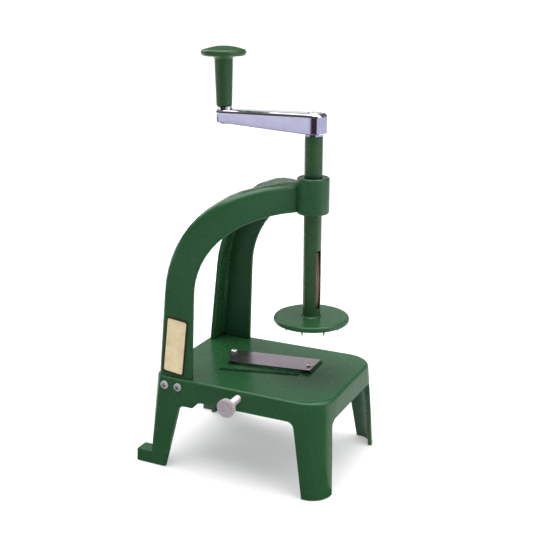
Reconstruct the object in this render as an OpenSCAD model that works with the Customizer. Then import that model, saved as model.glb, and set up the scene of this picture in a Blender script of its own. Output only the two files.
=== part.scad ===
// Hand-cranked upright turning slicer: a moulded table on four shell legs, a wishbone arch,
// and a sliding, turning shaft with a crank above and a spiked food disc below.
// Millimetres, +Z up, X along the table towards its free end. The origin lies on the ground,
// under the middle of the whole machine's box.

/* [Table base] */
// Length of the table top
base_len = 151.5; // [130:0.5:180]
// Width of the table top
base_wid = 112.4; // [100:0.1:130]
// Height of the table top above the ground
base_h = 76.5; // [60:0.5:100]
// Thickness of the moulded walls
base_wall = 3.2; // [2.4:0.1:4]
// Thickness of the table plate
table_t = 3; // [2.4:0.1:5]
// Corner radius at the free end, at the table top
free_corner_top = 23; // [16:0.5:26]
// Corner radius at the free end, at the ground
free_corner_foot = 16.5; // [10:0.5:20]
// Corner radius at the arch end, at the table top
arch_corner_top = 13.8; // [10:0.1:16]
// Corner radius at the arch end, at the ground
arch_corner_foot = 5.2; // [4.6:0.1:10]
// Rounding of the table's upper edge
edge_round = 2.6; // [1:0.1:3.5]
// Depth of the skirt below the table top
skirt_h = 16.5; // [12:0.5:22]
// Extra skirt depth beside the arch legs
skirt_step = 5.5; // [2:0.5:8]
// Length of the deeper skirt beside the arch legs
skirt_run = 12; // [8:0.5:18]
// Outward splay of the long sides at the ground
splay_side = 6.2; // [2:0.1:9]
// Outward splay of the two ends at the ground
splay_end = 2.2; // [0.5:0.1:4]
// Distance from the shaft axis to the free end of the table
axis_inset = 36; // [33:0.5:45]

/* [Legs] */
// Width of an arch-end leg below the skirt, on the long side
arch_leg_top = 26; // [22:0.5:34]
// Width of an arch-end leg at the ground, on the long side
arch_leg_foot = 15.5; // [10:0.5:22]
// Width of a free-end leg below the skirt, on the long side
free_leg_top = 26; // [22:0.5:36]
// Width of a free-end leg at the ground, on the long side
free_leg_foot = 18.5; // [14:0.5:28]
// Width of every leg below the skirt, on the short side
end_leg_top = 15; // [11:0.5:20]
// Width of every leg at the ground, on the short side
end_leg_foot = 17; // [12:0.5:20]
// Fillet between leg and skirt
leg_fillet = 6; // [3:0.5:10]
// Length of the toes beyond the arch-end legs
toe_len = 11; // [6:0.5:16]
// Height of the toes
toe_h = 10; // [6:0.5:14]
// Depth of the toes across the table
toe_wid = 13; // [10:0.5:14]

/* [Arch] */
// Height of the arch crown above the ground
crown_h = 233; // [215:0.1:250]
// Distance from the shaft axis back to the centre of the arch's curve
crown_back = 11.2; // [8:0.1:16]
// Inward lean of the pillars from the vertical
pillar_lean = 5.7; // [3:0.1:8]
// Distance from the table's arch end to the outer edge of the pillars
pillar_inset = 3.7; // [3:0.1:8]
// Distance from the table's long side to the outer face of a pillar
pillar_setback = 2.2; // [1.5:0.1:6]
// Depth of an arm where it meets the table
arm_root = 32; // [28:0.5:34]
// Depth of an arm where it meets the boss
arm_tip = 22.5; // [19:0.5:24]
// Power of the arm's taper: above 1, most of it lies near the table
arm_taper = 1.6; // [1:0.1:2]
// Thickness of an arm's side wall
arm_wall = 4; // [3:0.1:5]
// Width of the arm's outer flange
arm_flange = 19; // [14:0.5:22]
// Thickness of the outer flange
flange_t = 3.6; // [2.8:0.1:4.5]
// Inward dip of the flange where the two arms join
flange_dip = 2.8; // [0:0.1:4]
// Rounding of the arm's outer edges
arm_round = 6; // [3:0.5:7]
// Fillet between the arm's wall and its flange
arm_fillet = 2; // [1:0.5:3]
// Plan radius of the bend that turns an arm towards the boss
plan_r = 78; // [60:1:95]
// Angle in plan at which an arm meets the boss
plan_turn = 41; // [36:0.5:46]
// Depth of an arm's foot below the table top
foot_depth = 14; // [10:0.5:16]
// Diameter of the boss
boss_d = 25.4; // [24:0.1:30]
// Height of the boss
boss_h = 28.4; // [25:0.1:34]
// Height of the boss above the crown
boss_rise = 5; // [2:0.1:8]
// Rounding of the boss rims
boss_round = 1.8; // [0.8:0.1:2.5]

/* [Shaft] */
// Diameter of the shaft
shaft_d = 14; // [12:0.1:16]
// Length of the shaft between the crank and the disc
shaft_len = 141.8; // [130:0.1:160]
// Wall of the bush between shaft and boss
bush_wall = 2; // [1.4:0.1:2.6]
// Collar of the bush beyond its wall
bush_collar = 1.4; // [1:0.1:1.8]
// Height of the bush collar
bush_collar_h = 2; // [1.2:0.1:3]
// Running clearance of shaft, bush and grip, on the radius
run_gap = 0.08; // [0.03:0.01:0.15]
// Side of the square ends that key the crank and the disc
key_w = 8.4; // [7:0.1:9]
// Length of the upper key in the crank
key_len = 9; // [6:0.5:10]
// Length of the friction spring
spring_len = 45; // [35:1:55]
// Width of the friction spring
spring_w = 4.2; // [3:0.1:6]
// Thickness of the friction spring
spring_t = 0.6; // [0.4:0.1:1]
// Depth of the groove for the spring
groove_depth = 2.4; // [2:0.1:3]
// Height of the middle of the bowed spring above the groove's floor
spring_rise = 1.4; // [1:0.1:2]
// Height of the spring's lower end above the disc hub
spring_lift = 6; // [4:0.5:12]
// Direction the spring faces at rest, from +X
spring_dir = -20; // [-180:1:180]

/* [Disc] */
// Diameter of the food disc
disc_d = 60; // [50:1:70]
// Thickness of the food disc
disc_t = 4.6; // [3.5:0.1:6]
// Height of the disc's underside above the table at rest
disc_lift = 45.4; // [40:0.1:60]
// Height of the hub on the disc
hub_h = 1.2; // [0.8:0.1:4]
// Wall of the hub round the shaft's diameter
hub_wall = 0.6; // [0.4:0.1:3]
// Floor left under the disc's key socket
socket_floor = 2; // [1.2:0.1:3]
// Number of spikes
spikes = 8; // [6:1:12]
// Direction of the first spike at rest, from +X
spike_dir = 4; // [0:1:45]
// Pitch radius of the spikes
spike_pitch = 22; // [16:0.5:26]
// Length of the spikes
spike_len = 5.6; // [4:0.1:8]
// Root diameter of the spikes
spike_d = 2.4; // [1.8:0.1:3]

/* [Crank] */
// Length of the crank between its two axes
crank_len = 81.5; // [70:0.1:95]
// Direction of the crank at rest, from +X
crank_dir = 173.6; // [160:0.1:190]
// Width of the crank at the shaft
crank_hub_w = 18; // [16:0.5:22]
// Depth of the crank at the shaft
crank_hub_h = 15.5; // [13:0.5:18]
// Depth of the crank at the grip
crank_end_h = 12.4; // [10:0.2:14]
// Diameter of the crank's end at the grip
crank_end_d = 14; // [12:0.5:16]
// Plan corner radius of the crank's hub
crank_round = 6.4; // [3:0.1:8]
// Rounding of the crank's upper edges
crank_top_round = 3; // [1:0.1:3.4]
// Rounding of the crank's lower edges
crank_low_round = 0.8; // [0.3:0.1:1.5]
// Fall of the crank's top from the shaft to the grip
crank_fall = 2; // [0:0.1:3]
// Height of the ring under the crank's hub
crank_ring = 1.5; // [1:0.1:3]
// Diameter of the round boss under the grip, level with the hub's top
crank_pad_d = 13.2; // [11:0.1:14]

/* [Grip] */
// Diameter of the grip at its foot
grip_foot_d = 12.6; // [11.5:0.1:15]
// Diameter of the grip below the knob
grip_top_d = 14.8; // [13:0.1:16]
// Length of the grip below the knob
grip_len = 38; // [32:0.5:50]
// Diameter of the mushroom knob
knob_d = 36; // [30:0.5:42]
// Height of the mushroom knob
knob_h = 8.4; // [7.6:0.2:12]
// Half thickness of the knob's rim
knob_rim = 2.6; // [1.8:0.1:3.2]
// Diameter of the grip's pin
pin_d = 6; // [5:0.1:7]

/* [Blades] */
// Angle of the blade to the table's long side
blade_angle = 8.5; // [4:0.5:14]
// Length of the cutting edge
edge_len = 69; // [60:1:74]
// Depth of the blade from edge to back
blade_depth = 26; // [22:0.5:30]
// Extra length of the blade's back at its left end
blade_splay_l = 7; // [4:0.5:9]
// Extra length of the blade's back at its right end
blade_splay_r = 3; // [1:0.5:5]
// Thickness of the blade
blade_t = 1.4; // [1:0.1:2]
// Height of the blade seat above the table
seat_h = 1.2; // [0.8:0.1:2]
// Margin of the seat round the blade
seat_margin = 1.2; // [0.6:0.1:2]
// Width of the ground bevel at the edge
bevel_w = 4; // [2:0.5:6]
// Opening of the throat in front of the edge
throat_front = 0.6; // [0.4:0.1:2]
// Opening of the throat behind the edge
throat_back = 5.5; // [4:0.5:12]
// Angle of the comb slot to the blade
comb_angle = 6; // [2:0.5:8]
// Length of the comb slot
comb_len = 66; // [50:1:68]
// Width of the comb slot
comb_wid = 5.4; // [4.4:0.1:6]
// Distance from the cutting edge to the middle of the comb slot
comb_gap = 9; // [8:0.1:11]
// Distance of the comb slot's middle towards the arch from the throat's middle
comb_shift = 4; // [0:0.5:6]

/* [Thumb screw and clamp] */
// Diameter of the knurled head
thumb_head_d = 14.4; // [12:0.2:15]
// Thickness of the knurled head
thumb_head_t = 4; // [3:0.1:6]
// Diameter of the screw
thumb_d = 6; // [5:0.1:7]
// Length of screw in view between skirt and head
thumb_reach = 17; // [8:0.5:20]
// Thread pitch, which the clamp's travel follows
thumb_pitch = 1; // [0.7:0.05:1.25]
// Depth of the screw axis below the table top
thumb_drop = 6.2; // [5.8:0.1:12]
// Distance of the screw from the table's middle towards the free end
thumb_shift = 2.6; // [0:0.1:6]
// Wall of the brass inserts
insert_wall = 1.3; // [1:0.1:2]
// Length of the screw's insert inside the skirt
insert_len = 9; // [6:0.5:12]
// Turns of the screw from open to clamped
thumb_turns = 3; // [1:0.5:3]
// Thickness of the clamp shoe
shoe_t = 3; // [2:0.1:4]
// Length of the clamp shoe
shoe_len = 26; // [18:0.5:32]
// Height of the clamp shoe
shoe_h = 8; // [7:0.1:10]
// Thickness of the shoe's guides
guide_t = 1.6; // [1.2:0.1:2.4]

/* [Fasteners and plate] */
// Head diameter of the arch screws
arch_screw_head = 6.8; // [6:0.1:8]
// Shank diameter of the arch screws
arch_screw_d = 3.6; // [3:0.1:4.2]
// Spacing of the two arch screws on each side
arch_screw_pitch = 12.2; // [10:0.2:14]
// Depth of the arch screws' axes below the table top
arch_screw_drop = 6.6; // [6.2:0.1:9]
// Height of the arch screws' heads
arch_screw_cap = 2.4; // [1.6:0.1:3]
// Head diameter of the blade screws
blade_screw_head = 5.2; // [4.4:0.1:6]
// Shank diameter of the blade screws
blade_screw_d = 2.8; // [2.2:0.1:3.2]
// Height of the blade screws' heads
blade_screw_cap = 1.8; // [1.2:0.1:2.4]
// Distance of the left blade screw from the blade's back corner
blade_hole_in = 4; // [3.4:0.1:6]
// Distance of the right blade screw from the end of the edge
blade_hole_end = 2.6; // [2.4:0.1:4]
// Distance of the right blade screw behind the edge
blade_hole_back = 10; // [8:0.5:20]
// Shank diameter of the crank and disc screws
bolt_d = 4; // [3.4:0.1:4.4]
// Head diameter of the crank screw
crank_cap_d = 8.4; // [7:0.1:9]
// Head height of the crank and disc screws
bolt_cap = 2.4; // [1.8:0.1:3]
// Head diameter of the disc screw
disc_cap_d = 9; // [7:0.1:10]
// Diameter of the washer under the crank screw
washer_d = 9.8; // [9:0.1:10.2]
// Thickness of the washer under the crank screw
washer_t = 0.8; // [0.6:0.1:1.2]
// Depth of the crank's recess for washer and screw
crank_sink = 2.2; // [1.4:0.1:3]
// Width of the blank plate on the pillar
plate_w = 17; // [12:0.2:18]
// Length of the blank plate on the pillar
plate_len = 45; // [30:1:50]
// Thickness of the blank plate
plate_t = 1; // [0.6:0.1:1.2]
// Depth of the recess that holds the blank plate
plate_sink = 0.7; // [0.3:0.1:0.9]
// Corner radius of the blank plate
plate_round = 1.6; // [0.8:0.1:3]
// Distance from the pillar's outer edge at the table to the blank plate
plate_inset = 9.2; // [7:0.1:10]
// Height of the blank plate above the table
plate_rise = 4.1; // [2:0.1:6]
// Lean of the blank plate from the vertical
plate_lean = 6.7; // [3:0.1:8.5]
// Clearance between pieces that are fastened together
fit_gap = 0.1; // [0.05:0.01:0.2]
// Clearance between pieces that move past each other
move_gap = 0.5; // [0.3:0.1:1]

/* [Hidden] */
$fn = 64;
// Overlap of joined forms, and how far a cut runs past the face it opens
eps = 0.01;
over = 1;
green = "#2c5a3a";
steel = "#c9c9cf";
brass = "#c8a85a";
// Table: ends along X, and the wall's faces at height z
end_free = axis_inset;
end_arch = axis_inset - base_len;
half_w = base_wid / 2;
skirt_z = base_h - skirt_h;
under_z = base_h - table_t;
function side_y(z) = half_w + splay_side * (1 - z / base_h);
function inner_y(z) = side_y(z) - base_wall;
foot_free = end_free + splay_end;
foot_arch = end_arch - splay_end;
toe_end = foot_arch - toe_len;
// Arch: the radius follows from the pillar's place, its lean and the crown
pillar_x = end_arch + pillar_inset;
pillar_y = half_w - pillar_setback;
arch_span = -pillar_x - crown_back - (crown_h - base_h) * tan(pillar_lean);
arch_r = arch_span / (cos(pillar_lean) - (1 - sin(pillar_lean)) * tan(pillar_lean));
arc_x = -crown_back;
arc_z = crown_h - arch_r;
lean_z = arc_z + arch_r * sin(pillar_lean);
arm_straight = (lean_z - base_h) / cos(pillar_lean);
arm_curve = arch_r * (90 - pillar_lean) * PI / 180;
arm_length = arm_straight + arm_curve + crown_back;
arm_steps = 22;
// Plan of an arm's outer face: straight, a bend, straight to the boss
meet_x = -0.4 * boss_d;
meet_y = -0.32 * boss_d;
bend_y = -pillar_y + plan_r * (1 - cos(plan_turn));
bend_end = meet_x - (meet_y - bend_y) / tan(plan_turn);
bend_start = bend_end - plan_r * sin(plan_turn);
function turn_at(x) = x < bend_start ? 0 : x > bend_end ? plan_turn : asin((x - bend_start) / plan_r);
function face_at(x) = x < bend_start ? -pillar_y
    : x > bend_end ? bend_y + (x - bend_end) * tan(plan_turn)
    : -pillar_y + plan_r * (1 - cos(turn_at(x)));
// Boss, shaft and disc heights
boss_top = crown_h + boss_rise;
boss_z = boss_top - boss_h;
disc_z = base_h + disc_lift;
hub_z = disc_z + disc_t + hub_h;
shaft_z = hub_z;
shaft_top = shaft_z + shaft_len;
low_key = disc_t + hub_h - socket_floor;
bush_r = shaft_d / 2 + run_gap + bush_wall;
bush_inset = bush_collar_h * 0.3;
spring_seat = shaft_d / 2 - groove_depth;
groove_side = 3 * fit_gap;
groove_spare = spring_w / 2;
// Crank and grip heights
crank_z = shaft_top + crank_ring;
crank_top = crank_z + crank_hub_h;
end_play = 0.6 * move_gap;
grip_z = crank_top + end_play;
knob_z = grip_z + grip_len;
grip_end = knob_z + knob_h;
plug_d = 1.75 * pin_d;
plug_t = 0.3 * knob_h;
pin_head_d = 1.6 * pin_d;
pin_head_t = pin_d / 3;
pin_head_z = grip_end - plug_t - pin_head_t - 1.6 * move_gap;
pin_tail_d = pin_d - 1;
rivet_t = 0.18 * pin_d;
bolt_bore = bolt_d + 2 * fit_gap;
bolt_clear = bolt_d + 4 * fit_gap;
bolt_len = 3.5 * bolt_d;
// Blade plan, along the blade from the shaft axis and back from its edge
seat_top = base_h + seat_h;
edge_end = -bevel_w / 4;
blade_left = edge_end - edge_len;
blade_hole_l = [blade_left - blade_splay_l + blade_hole_in, blade_depth - 0.85 * blade_hole_in];
blade_hole_r = [edge_end - blade_hole_end, blade_hole_back];
blade_holes = [blade_hole_l, blade_hole_r];
blade_insert_d = blade_screw_d + 2 * insert_wall;
blade_boss_h = 1.5 * table_t;
throat_left = blade_left + 0.75 * blade_hole_in;
throat_right = edge_end - blade_hole_end - blade_insert_d / 2 - insert_wall;
comb_mid = (throat_left + throat_right) / 2 - comb_shift;
// Thumb screw, and the clamp shoe beside the comb slot
slot_turn = blade_angle + comb_angle;
thumb_z = base_h - thumb_drop;
thumb_x = (end_free + end_arch) / 2 + thumb_shift;
skirt_y = side_y(thumb_z);
wall_y = -inner_y(thumb_z);
head_y = -skirt_y - thumb_reach - thumb_head_t;
insert_d = thumb_d + 2 * insert_wall;
insert_y = wall_y - base_wall / 2;
slot_mid = [cos(blade_angle) * comb_mid + sin(blade_angle) * comb_gap,
    sin(blade_angle) * comb_mid - cos(blade_angle) * comb_gap];
shoe_travel = thumb_turns * thumb_pitch;
slot_y_at_screw = slot_mid[1] + (thumb_x - slot_mid[0]) * tan(slot_turn);
shoe_y = slot_y_at_screw - (comb_wid / 2 + shoe_t / 2) / cos(slot_turn) - move_gap;
shoe_z = under_z - shoe_h / 2 - 0.6 * move_gap;
tip_d = thumb_d / 1.5;
guide_gap = move_gap + shoe_travel * sin(slot_turn);
// Arch screws: set in the middle of each pillar's foot
foot_mid = pillar_x + arm_root / 2 - pillar_inset / 3;
arch_screw_z = base_h - arch_screw_drop;
arch_screw_seat = arch_screw_cap / 8 - side_y(arch_screw_z);
arch_screw_tip = arm_wall + arch_screw_d - pillar_y;
plate_x = pillar_x + plate_inset + plate_w / 2;
plate_z = base_h + plate_rise + plate_len / 2;
// Origin: the middle of the whole machine's box, on the ground
corner_cut = max(0, free_corner_foot - end_leg_foot);
corner_loss = free_corner_foot - sqrt(free_corner_foot * free_corner_foot - corner_cut * corner_cut);
box_x = (toe_end + foot_free - corner_loss) / 2;
box_y = (head_y + side_y(0)) / 2;

// Shared forms

// Moves a piece from the shaft's axis to the part's own origin
module placed() {
    translate([-box_x, -box_y, 0]) children();
}

// A piece and its mirror image across the table's mid-plane
module both_sides() {
    children();
    mirror([0, 1, 0]) children();
}

// Turns a piece into the blade's own axes
module on_blade(z) {
    translate([0, 0, z]) rotate([0, 0, blade_angle]) children();
}

// Stands a cylinder along Y, from y0 to y1
module rod_y(x, z, y0, y1, d) {
    translate([x, y0, z]) rotate([-90, 0, 0]) cylinder(d = d, h = y1 - y0);
}

// Square bar on the axis, from z0 upwards
module key_bar(w, z0, h) {
    translate([-w / 2, -w / 2, z0]) cube([w, w, h]);
}

// Rectangle with round corners, about its middle
module round_rect(w, h, r) {
    square([w - 2 * r, h], center = true);
    square([w, h - 2 * r], center = true);
    for (x = [-1, 1], y = [-1, 1]) translate([x * (w / 2 - r), y * (h / 2 - r)]) circle(r = r);
}

// Pan head with a cross recess, on its seat at z = 0
module pan_head(d, h) {
    slot = d * 0.6;
    blade = d * 0.16;
    dome = d * 0.85;
    difference() {
        intersection() {
            cylinder(d = d, h = h);
            translate([0, 0, h - dome]) sphere(r = dome);
        }
        for (a = [0, 90]) rotate([0, 0, a])
            translate([-slot / 2, -blade / 2, h * 0.45]) cube([slot, blade, h]);
    }
}

// Points of an arc about a centre, from angle a0 to a1
function arc_points(c, r, a0, a1, n) =
    [for (i = [0:n]) c + r * [cos(a0 + (a1 - a0) * i / n), sin(a0 + (a1 - a0) * i / n)]];

// Faces between the rings of a loft, n points to a ring
function loft_sides(steps, n) = [for (i = [0:steps - 1], k = [0:n - 1]) each
    [[i * n + k, (i + 1) * n + k, i * n + (k + 1) % n],
     [i * n + (k + 1) % n, (i + 1) * n + k, (i + 1) * n + (k + 1) % n]]];

// Table base

// One level of the table's loft: its four corners, drawn in by an inset
module table_level(z, inset) {
    up = z / base_h;
    r_free = free_corner_foot + (free_corner_top - free_corner_foot) * up;
    r_arch = arch_corner_foot + (arch_corner_top - arch_corner_foot) * up;
    translate([0, 0, z]) linear_extrude(eps) for (s = [-1, 1]) {
        translate([end_free + splay_end * (1 - up) - r_free, s * (side_y(z) - r_free)])
            circle(r = r_free - inset);
        translate([end_arch - splay_end * (1 - up) + r_arch, s * (side_y(z) - r_arch)])
            circle(r = r_arch - inset);
    }
}

// Opening between the legs, seen from the long side
module long_gap() {
    foot_l = foot_arch + arch_leg_foot;
    top_l = end_arch + arch_leg_top;
    foot_r = foot_free - free_leg_foot;
    top_r = end_free - free_leg_top;
    low = skirt_z - skirt_step;
    drop = -2 * leg_fillet;
    lean_l = (top_l - foot_l) / low;
    lean_r = (foot_r - top_r) / skirt_z;
    offset(r = leg_fillet, $fn = 32) offset(delta = -leg_fillet)
        polygon([[foot_l + drop * lean_l, drop], [top_l, low], [top_l + skirt_run, low],
            [top_l + skirt_run + skirt_step, skirt_z], [top_r, skirt_z], [foot_r - drop * lean_r, drop]]);
}

// Opening between the legs, seen from the short side
module short_gap() {
    top_y = half_w - end_leg_top;
    foot_y = side_y(0) - end_leg_foot;
    drop = -2 * leg_fillet;
    low_y = foot_y - drop * (foot_y - top_y) / skirt_z;
    offset(r = leg_fillet, $fn = 32) offset(delta = -leg_fillet)
        polygon([[-low_y, drop], [-top_y, skirt_z], [top_y, skirt_z], [low_y, drop]]);
}

module table_shell() {
    difference() {
        hull($fn = 48) {
            table_level(0, 0);
            for (a = [0:22.5:90])
                table_level(base_h - eps - edge_round * (1 - sin(a)), edge_round * (1 - cos(a)));
        }
        hull($fn = 48) {
            table_level(-eps, base_wall);
            table_level(under_z, base_wall);
        }
        rotate([90, 0, 0]) translate([0, 0, -base_wid]) linear_extrude(2 * base_wid) long_gap();
        translate([-base_len, 0, 0]) rotate([90, 0, 90]) linear_extrude(2 * base_len) short_gap();
    }
}

// Toe of an arch-end leg: a hollow block in line with the leg's outer face
module toe() {
    y0 = -side_y(0);
    run = toe_len + arch_corner_foot;
    difference() {
        translate([toe_end, 0, 0]) rotate([90, 0, 90]) linear_extrude(run)
            polygon([[y0, 0], [y0 + toe_wid, 0], [y0 + toe_wid, toe_h], [-side_y(toe_h), toe_h]]);
        translate([toe_end + base_wall, y0 + 1.25 * base_wall, -eps])
            cube([run, toe_wid - 2.25 * base_wall, toe_h - base_wall]);
    }
}

// Foot of an arm in plan: the arm's own section, bent as the arm is
module foot_plan() {
    polygon([for (q = arm_section(arm_root, 0)) let (x = pillar_x + q[0], t = turn_at(x))
        [x - q[1] * sin(t), face_at(x) + q[1] * cos(t)]]);
}

// Blade in plan, grown at its ends and back, and drawn out in front of its edge
module blade_outline(grow, front) {
    polygon([[blade_left - grow, -front], [edge_end + grow, -front],
        [edge_end + blade_splay_r + grow, blade_depth + grow],
        [blade_left - blade_splay_l - grow, blade_depth + grow]]);
}

// Comb slot in plan, in the blade's axes
module comb_slot(len, wid) {
    translate([comb_mid, -comb_gap]) rotate([0, 0, comb_angle]) square([len, wid], center = true);
}

// The two ribs under the table that keep the clamp shoe square
module shoe_guides() {
    for (s = [-1, 1])
        translate([thumb_x, shoe_y, under_z - shoe_h / 4]) rotate([0, 0, slot_turn])
            translate([s * (shoe_len / 2 + guide_gap + guide_t / 2), shoe_travel / 2, eps])
                cube([guide_t, 2 * shoe_t + shoe_travel, shoe_h / 2], center = true);
}

module base() {
    color(green) placed() difference() {
        union() {
            table_shell();
            both_sides() toe();
            on_blade(base_h - eps) linear_extrude(seat_h + eps) blade_outline(seat_margin, throat_front / 2);
            for (p = blade_holes)
                on_blade(under_z - blade_boss_h) translate(p)
                    cylinder(d = blade_insert_d + 2 * insert_wall, h = blade_boss_h + eps);
            rod_y(thumb_x, thumb_z, wall_y - base_wall / 2, wall_y + insert_len, insert_d + 2 * insert_wall);
            shoe_guides();
        }
        both_sides() {
            translate([0, 0, base_h - foot_depth]) linear_extrude(2 * foot_depth)
                offset(delta = 2 * fit_gap) foot_plan();
            for (s = [-0.5, 0.5]) {
                rod_y(foot_mid + s * arch_screw_pitch, arch_screw_z, -side_y(0), -pillar_y + over,
                    arch_screw_d + 2 * fit_gap);
                rod_y(foot_mid + s * arch_screw_pitch, arch_screw_z, -side_y(0), arch_screw_seat,
                    arch_screw_head + over);
            }
        }
        on_blade(under_z - over) linear_extrude(table_t + seat_h + 2 * over) {
            translate([throat_left, -throat_front])
                square([throat_right - throat_left, throat_front + throat_back]);
            comb_slot(comb_len, comb_wid);
        }
        for (p = blade_holes)
            on_blade(under_z - blade_boss_h - over) translate(p)
                cylinder(d = blade_insert_d + 2 * fit_gap, h = blade_boss_h + table_t + seat_h + 2 * over);
        rod_y(thumb_x, thumb_z, -side_y(0), wall_y, thumb_d + 4 * fit_gap);
        rod_y(thumb_x, thumb_z, insert_y, wall_y + insert_len + over, insert_d + 2 * fit_gap);
    }
}

// Wishbone arch

// Outer edge of the side profile at step i, as [point, outward direction, depth of the arm there]
function edge_at(i) =
    let (s = i * arm_length / arm_steps,
        depth = arm_tip + (arm_root - arm_tip) * pow(max(0, 1 - s / arm_length), arm_taper),
        a = 180 - pillar_lean - (s - arm_straight) / arch_r * 180 / PI)
    s <= arm_straight ? [[pillar_x + s * sin(pillar_lean), base_h + s * cos(pillar_lean)],
        [-cos(pillar_lean), sin(pillar_lean)], depth]
    : s <= arm_straight + arm_curve ? [[arc_x + arch_r * cos(a), arc_z + arch_r * sin(a)],
        [cos(a), sin(a)], depth]
    : [[arc_x + s - arm_straight - arm_curve, crown_h], [0, 1], depth];

// Channel section of an arm: depth from the outer edge, and distance in from the outer face
function arm_section(d, dip) = let (r = arm_round, lip = arm_wall / 2) concat(
    [[dip, arm_flange], [0, 1.2 * r]],
    arc_points([r, r], r, 180, 270, 4),
    arc_points([d - lip, lip], lip, 270, 450, 6),
    [[flange_t + arm_fillet, arm_wall], [flange_t, arm_wall + arm_fillet], [flange_t + dip, arm_flange]]);

// Point of the arm's skin for a section point at step i
function arm_point(i, q) =
    let (e = edge_at(i), x = e[0][0] - q[0] * e[1][0], z = e[0][1] - q[0] * e[1][1], t = turn_at(x))
    [x - q[1] * sin(t), face_at(x) + q[1] * cos(t), z];

// One arm, swept from the table to the boss
module arm_sweep() {
    rings = [for (i = [0:arm_steps])
        [for (q = arm_section(edge_at(i)[2], flange_dip * i / arm_steps)) arm_point(i, q)]];
    n = len(rings[0]);
    points = [for (ring = rings) each ring];
    inner = n - 3;
    cap = concat([[0, 1, n - 2], [0, n - 2, n - 1], [1, inner, n - 2]],
        [for (k = [1:inner - 2]) [k, k + 1, inner]]);
    far = [for (f = cap) [for (k = [2:-1:0]) f[k] + arm_steps * n]];
    polyhedron(points, concat(loft_sides(arm_steps, n), cap, far), convexity = 6);
}

// The arm on its own side of the mid-plane
module half_arm() {
    difference() {
        arm_sweep();
        translate([-base_len, eps, 0]) cube([2 * base_len, base_wid, 2 * crown_h]);
    }
}

module boss_form() {
    r = boss_d / 2;
    b = boss_round;
    rotate_extrude() polygon(concat([[0, boss_z]], arc_points([r - b, boss_z + b], b, 270, 360, 6),
        arc_points([r - b, boss_top - b], b, 0, 90, 6), [[0, boss_top]]));
}

// Block the size of the blank plate, let into the near pillar, grown by c and t thick
module plate_block(c, t) {
    translate([plate_x, -pillar_y + plate_sink, plate_z]) rotate([0, plate_lean, 0]) rotate([90, 0, 0])
        linear_extrude(t) round_rect(plate_w + 2 * c, plate_len + 2 * c, plate_round + c);
}

module arch_frame() {
    color(green) placed() difference() {
        union() {
            both_sides() {
                half_arm();
                translate([0, 0, base_h - foot_depth + fit_gap]) linear_extrude(foot_depth) foot_plan();
            }
            boss_form();
        }
        translate([0, 0, boss_z - over]) cylinder(r = bush_r + run_gap, h = boss_h + 2 * over);
        translate([0, 0, boss_top - bush_collar_h])
            cylinder(r = bush_r + bush_collar + 3 * run_gap, h = bush_collar_h + over);
        plate_block(fit_gap, plate_sink + over);
        both_sides() for (s = [-0.5, 0.5])
            rod_y(foot_mid + s * arch_screw_pitch, arch_screw_z, -pillar_y - over,
                arch_screw_tip + over, arch_screw_d + 2 * fit_gap);
    }
}

module arch_screws() {
    reach = arch_screw_tip - arch_screw_seat;
    for (s = [-0.5, 0.5]) translate([foot_mid + s * arch_screw_pitch, arch_screw_seat, arch_screw_z]) {
        rotate([90, 0, 0]) rotate([0, 0, 30 + 50 * s]) pan_head(arch_screw_head, arch_screw_cap);
        rotate([-90, 0, 0]) cylinder(d = arch_screw_d, h = reach);
    }
}

module arch_screws_front() {
    color(steel) placed() arch_screws();
}

module arch_screws_back() {
    color(steel) placed() mirror([0, 1, 0]) arch_screws();
}

module blank_plate() {
    color("#d9c9a0") placed() plate_block(0, plate_t);
}

// Blade on the table

module main_blade() {
    color("#b9b4c0") placed() on_blade(seat_top) difference() {
        linear_extrude(blade_t) blade_outline(0, 0);
        translate([2 * blade_left, 0, 0]) rotate([90, 0, 90]) linear_extrude(3 * edge_len)
            polygon([[-over, blade_t], [0, blade_t], [bevel_w, 0], [bevel_w, -over], [-over, -over]]);
        for (p = blade_holes)
            translate(p) translate([0, 0, -over])
                cylinder(d = blade_screw_d + 2 * fit_gap, h = blade_t + 2 * over);
    }
}

module blade_screws() {
    reach = blade_t + seat_h + table_t + blade_boss_h - insert_wall;
    color(steel) placed() for (p = blade_holes) on_blade(seat_top + blade_t) translate(p) {
        pan_head(blade_screw_head, blade_screw_cap);
        mirror([0, 0, 1]) cylinder(d = blade_screw_d, h = reach);
    }
}

module blade_inserts() {
    tall = table_t + seat_h + blade_boss_h;
    color(brass) placed() for (p = blade_holes) on_blade(seat_top - tall) translate(p)
        difference() {
            cylinder(d = blade_insert_d, h = tall);
            translate([0, 0, -over]) cylinder(d = blade_screw_d + 2 * fit_gap, h = tall + 2 * over);
        }
}

// Clamp of the comb slot

module thumb_insert() {
    color(brass) placed() difference() {
        rod_y(thumb_x, thumb_z, insert_y + fit_gap, wall_y + insert_len, insert_d);
        rod_y(thumb_x, thumb_z, insert_y - over, wall_y + insert_len + over, thumb_d + 2 * run_gap);
    }
}

module clamp_shoe() {
    color(steel) placed() difference() {
        translate([thumb_x, shoe_y, shoe_z]) rotate([0, 0, slot_turn])
            cube([shoe_len, shoe_t, shoe_h], center = true);
        rod_y(thumb_x, thumb_z, shoe_y - 2 * shoe_t, shoe_y + move_gap, tip_d + 2 * run_gap);
    }
}

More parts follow.
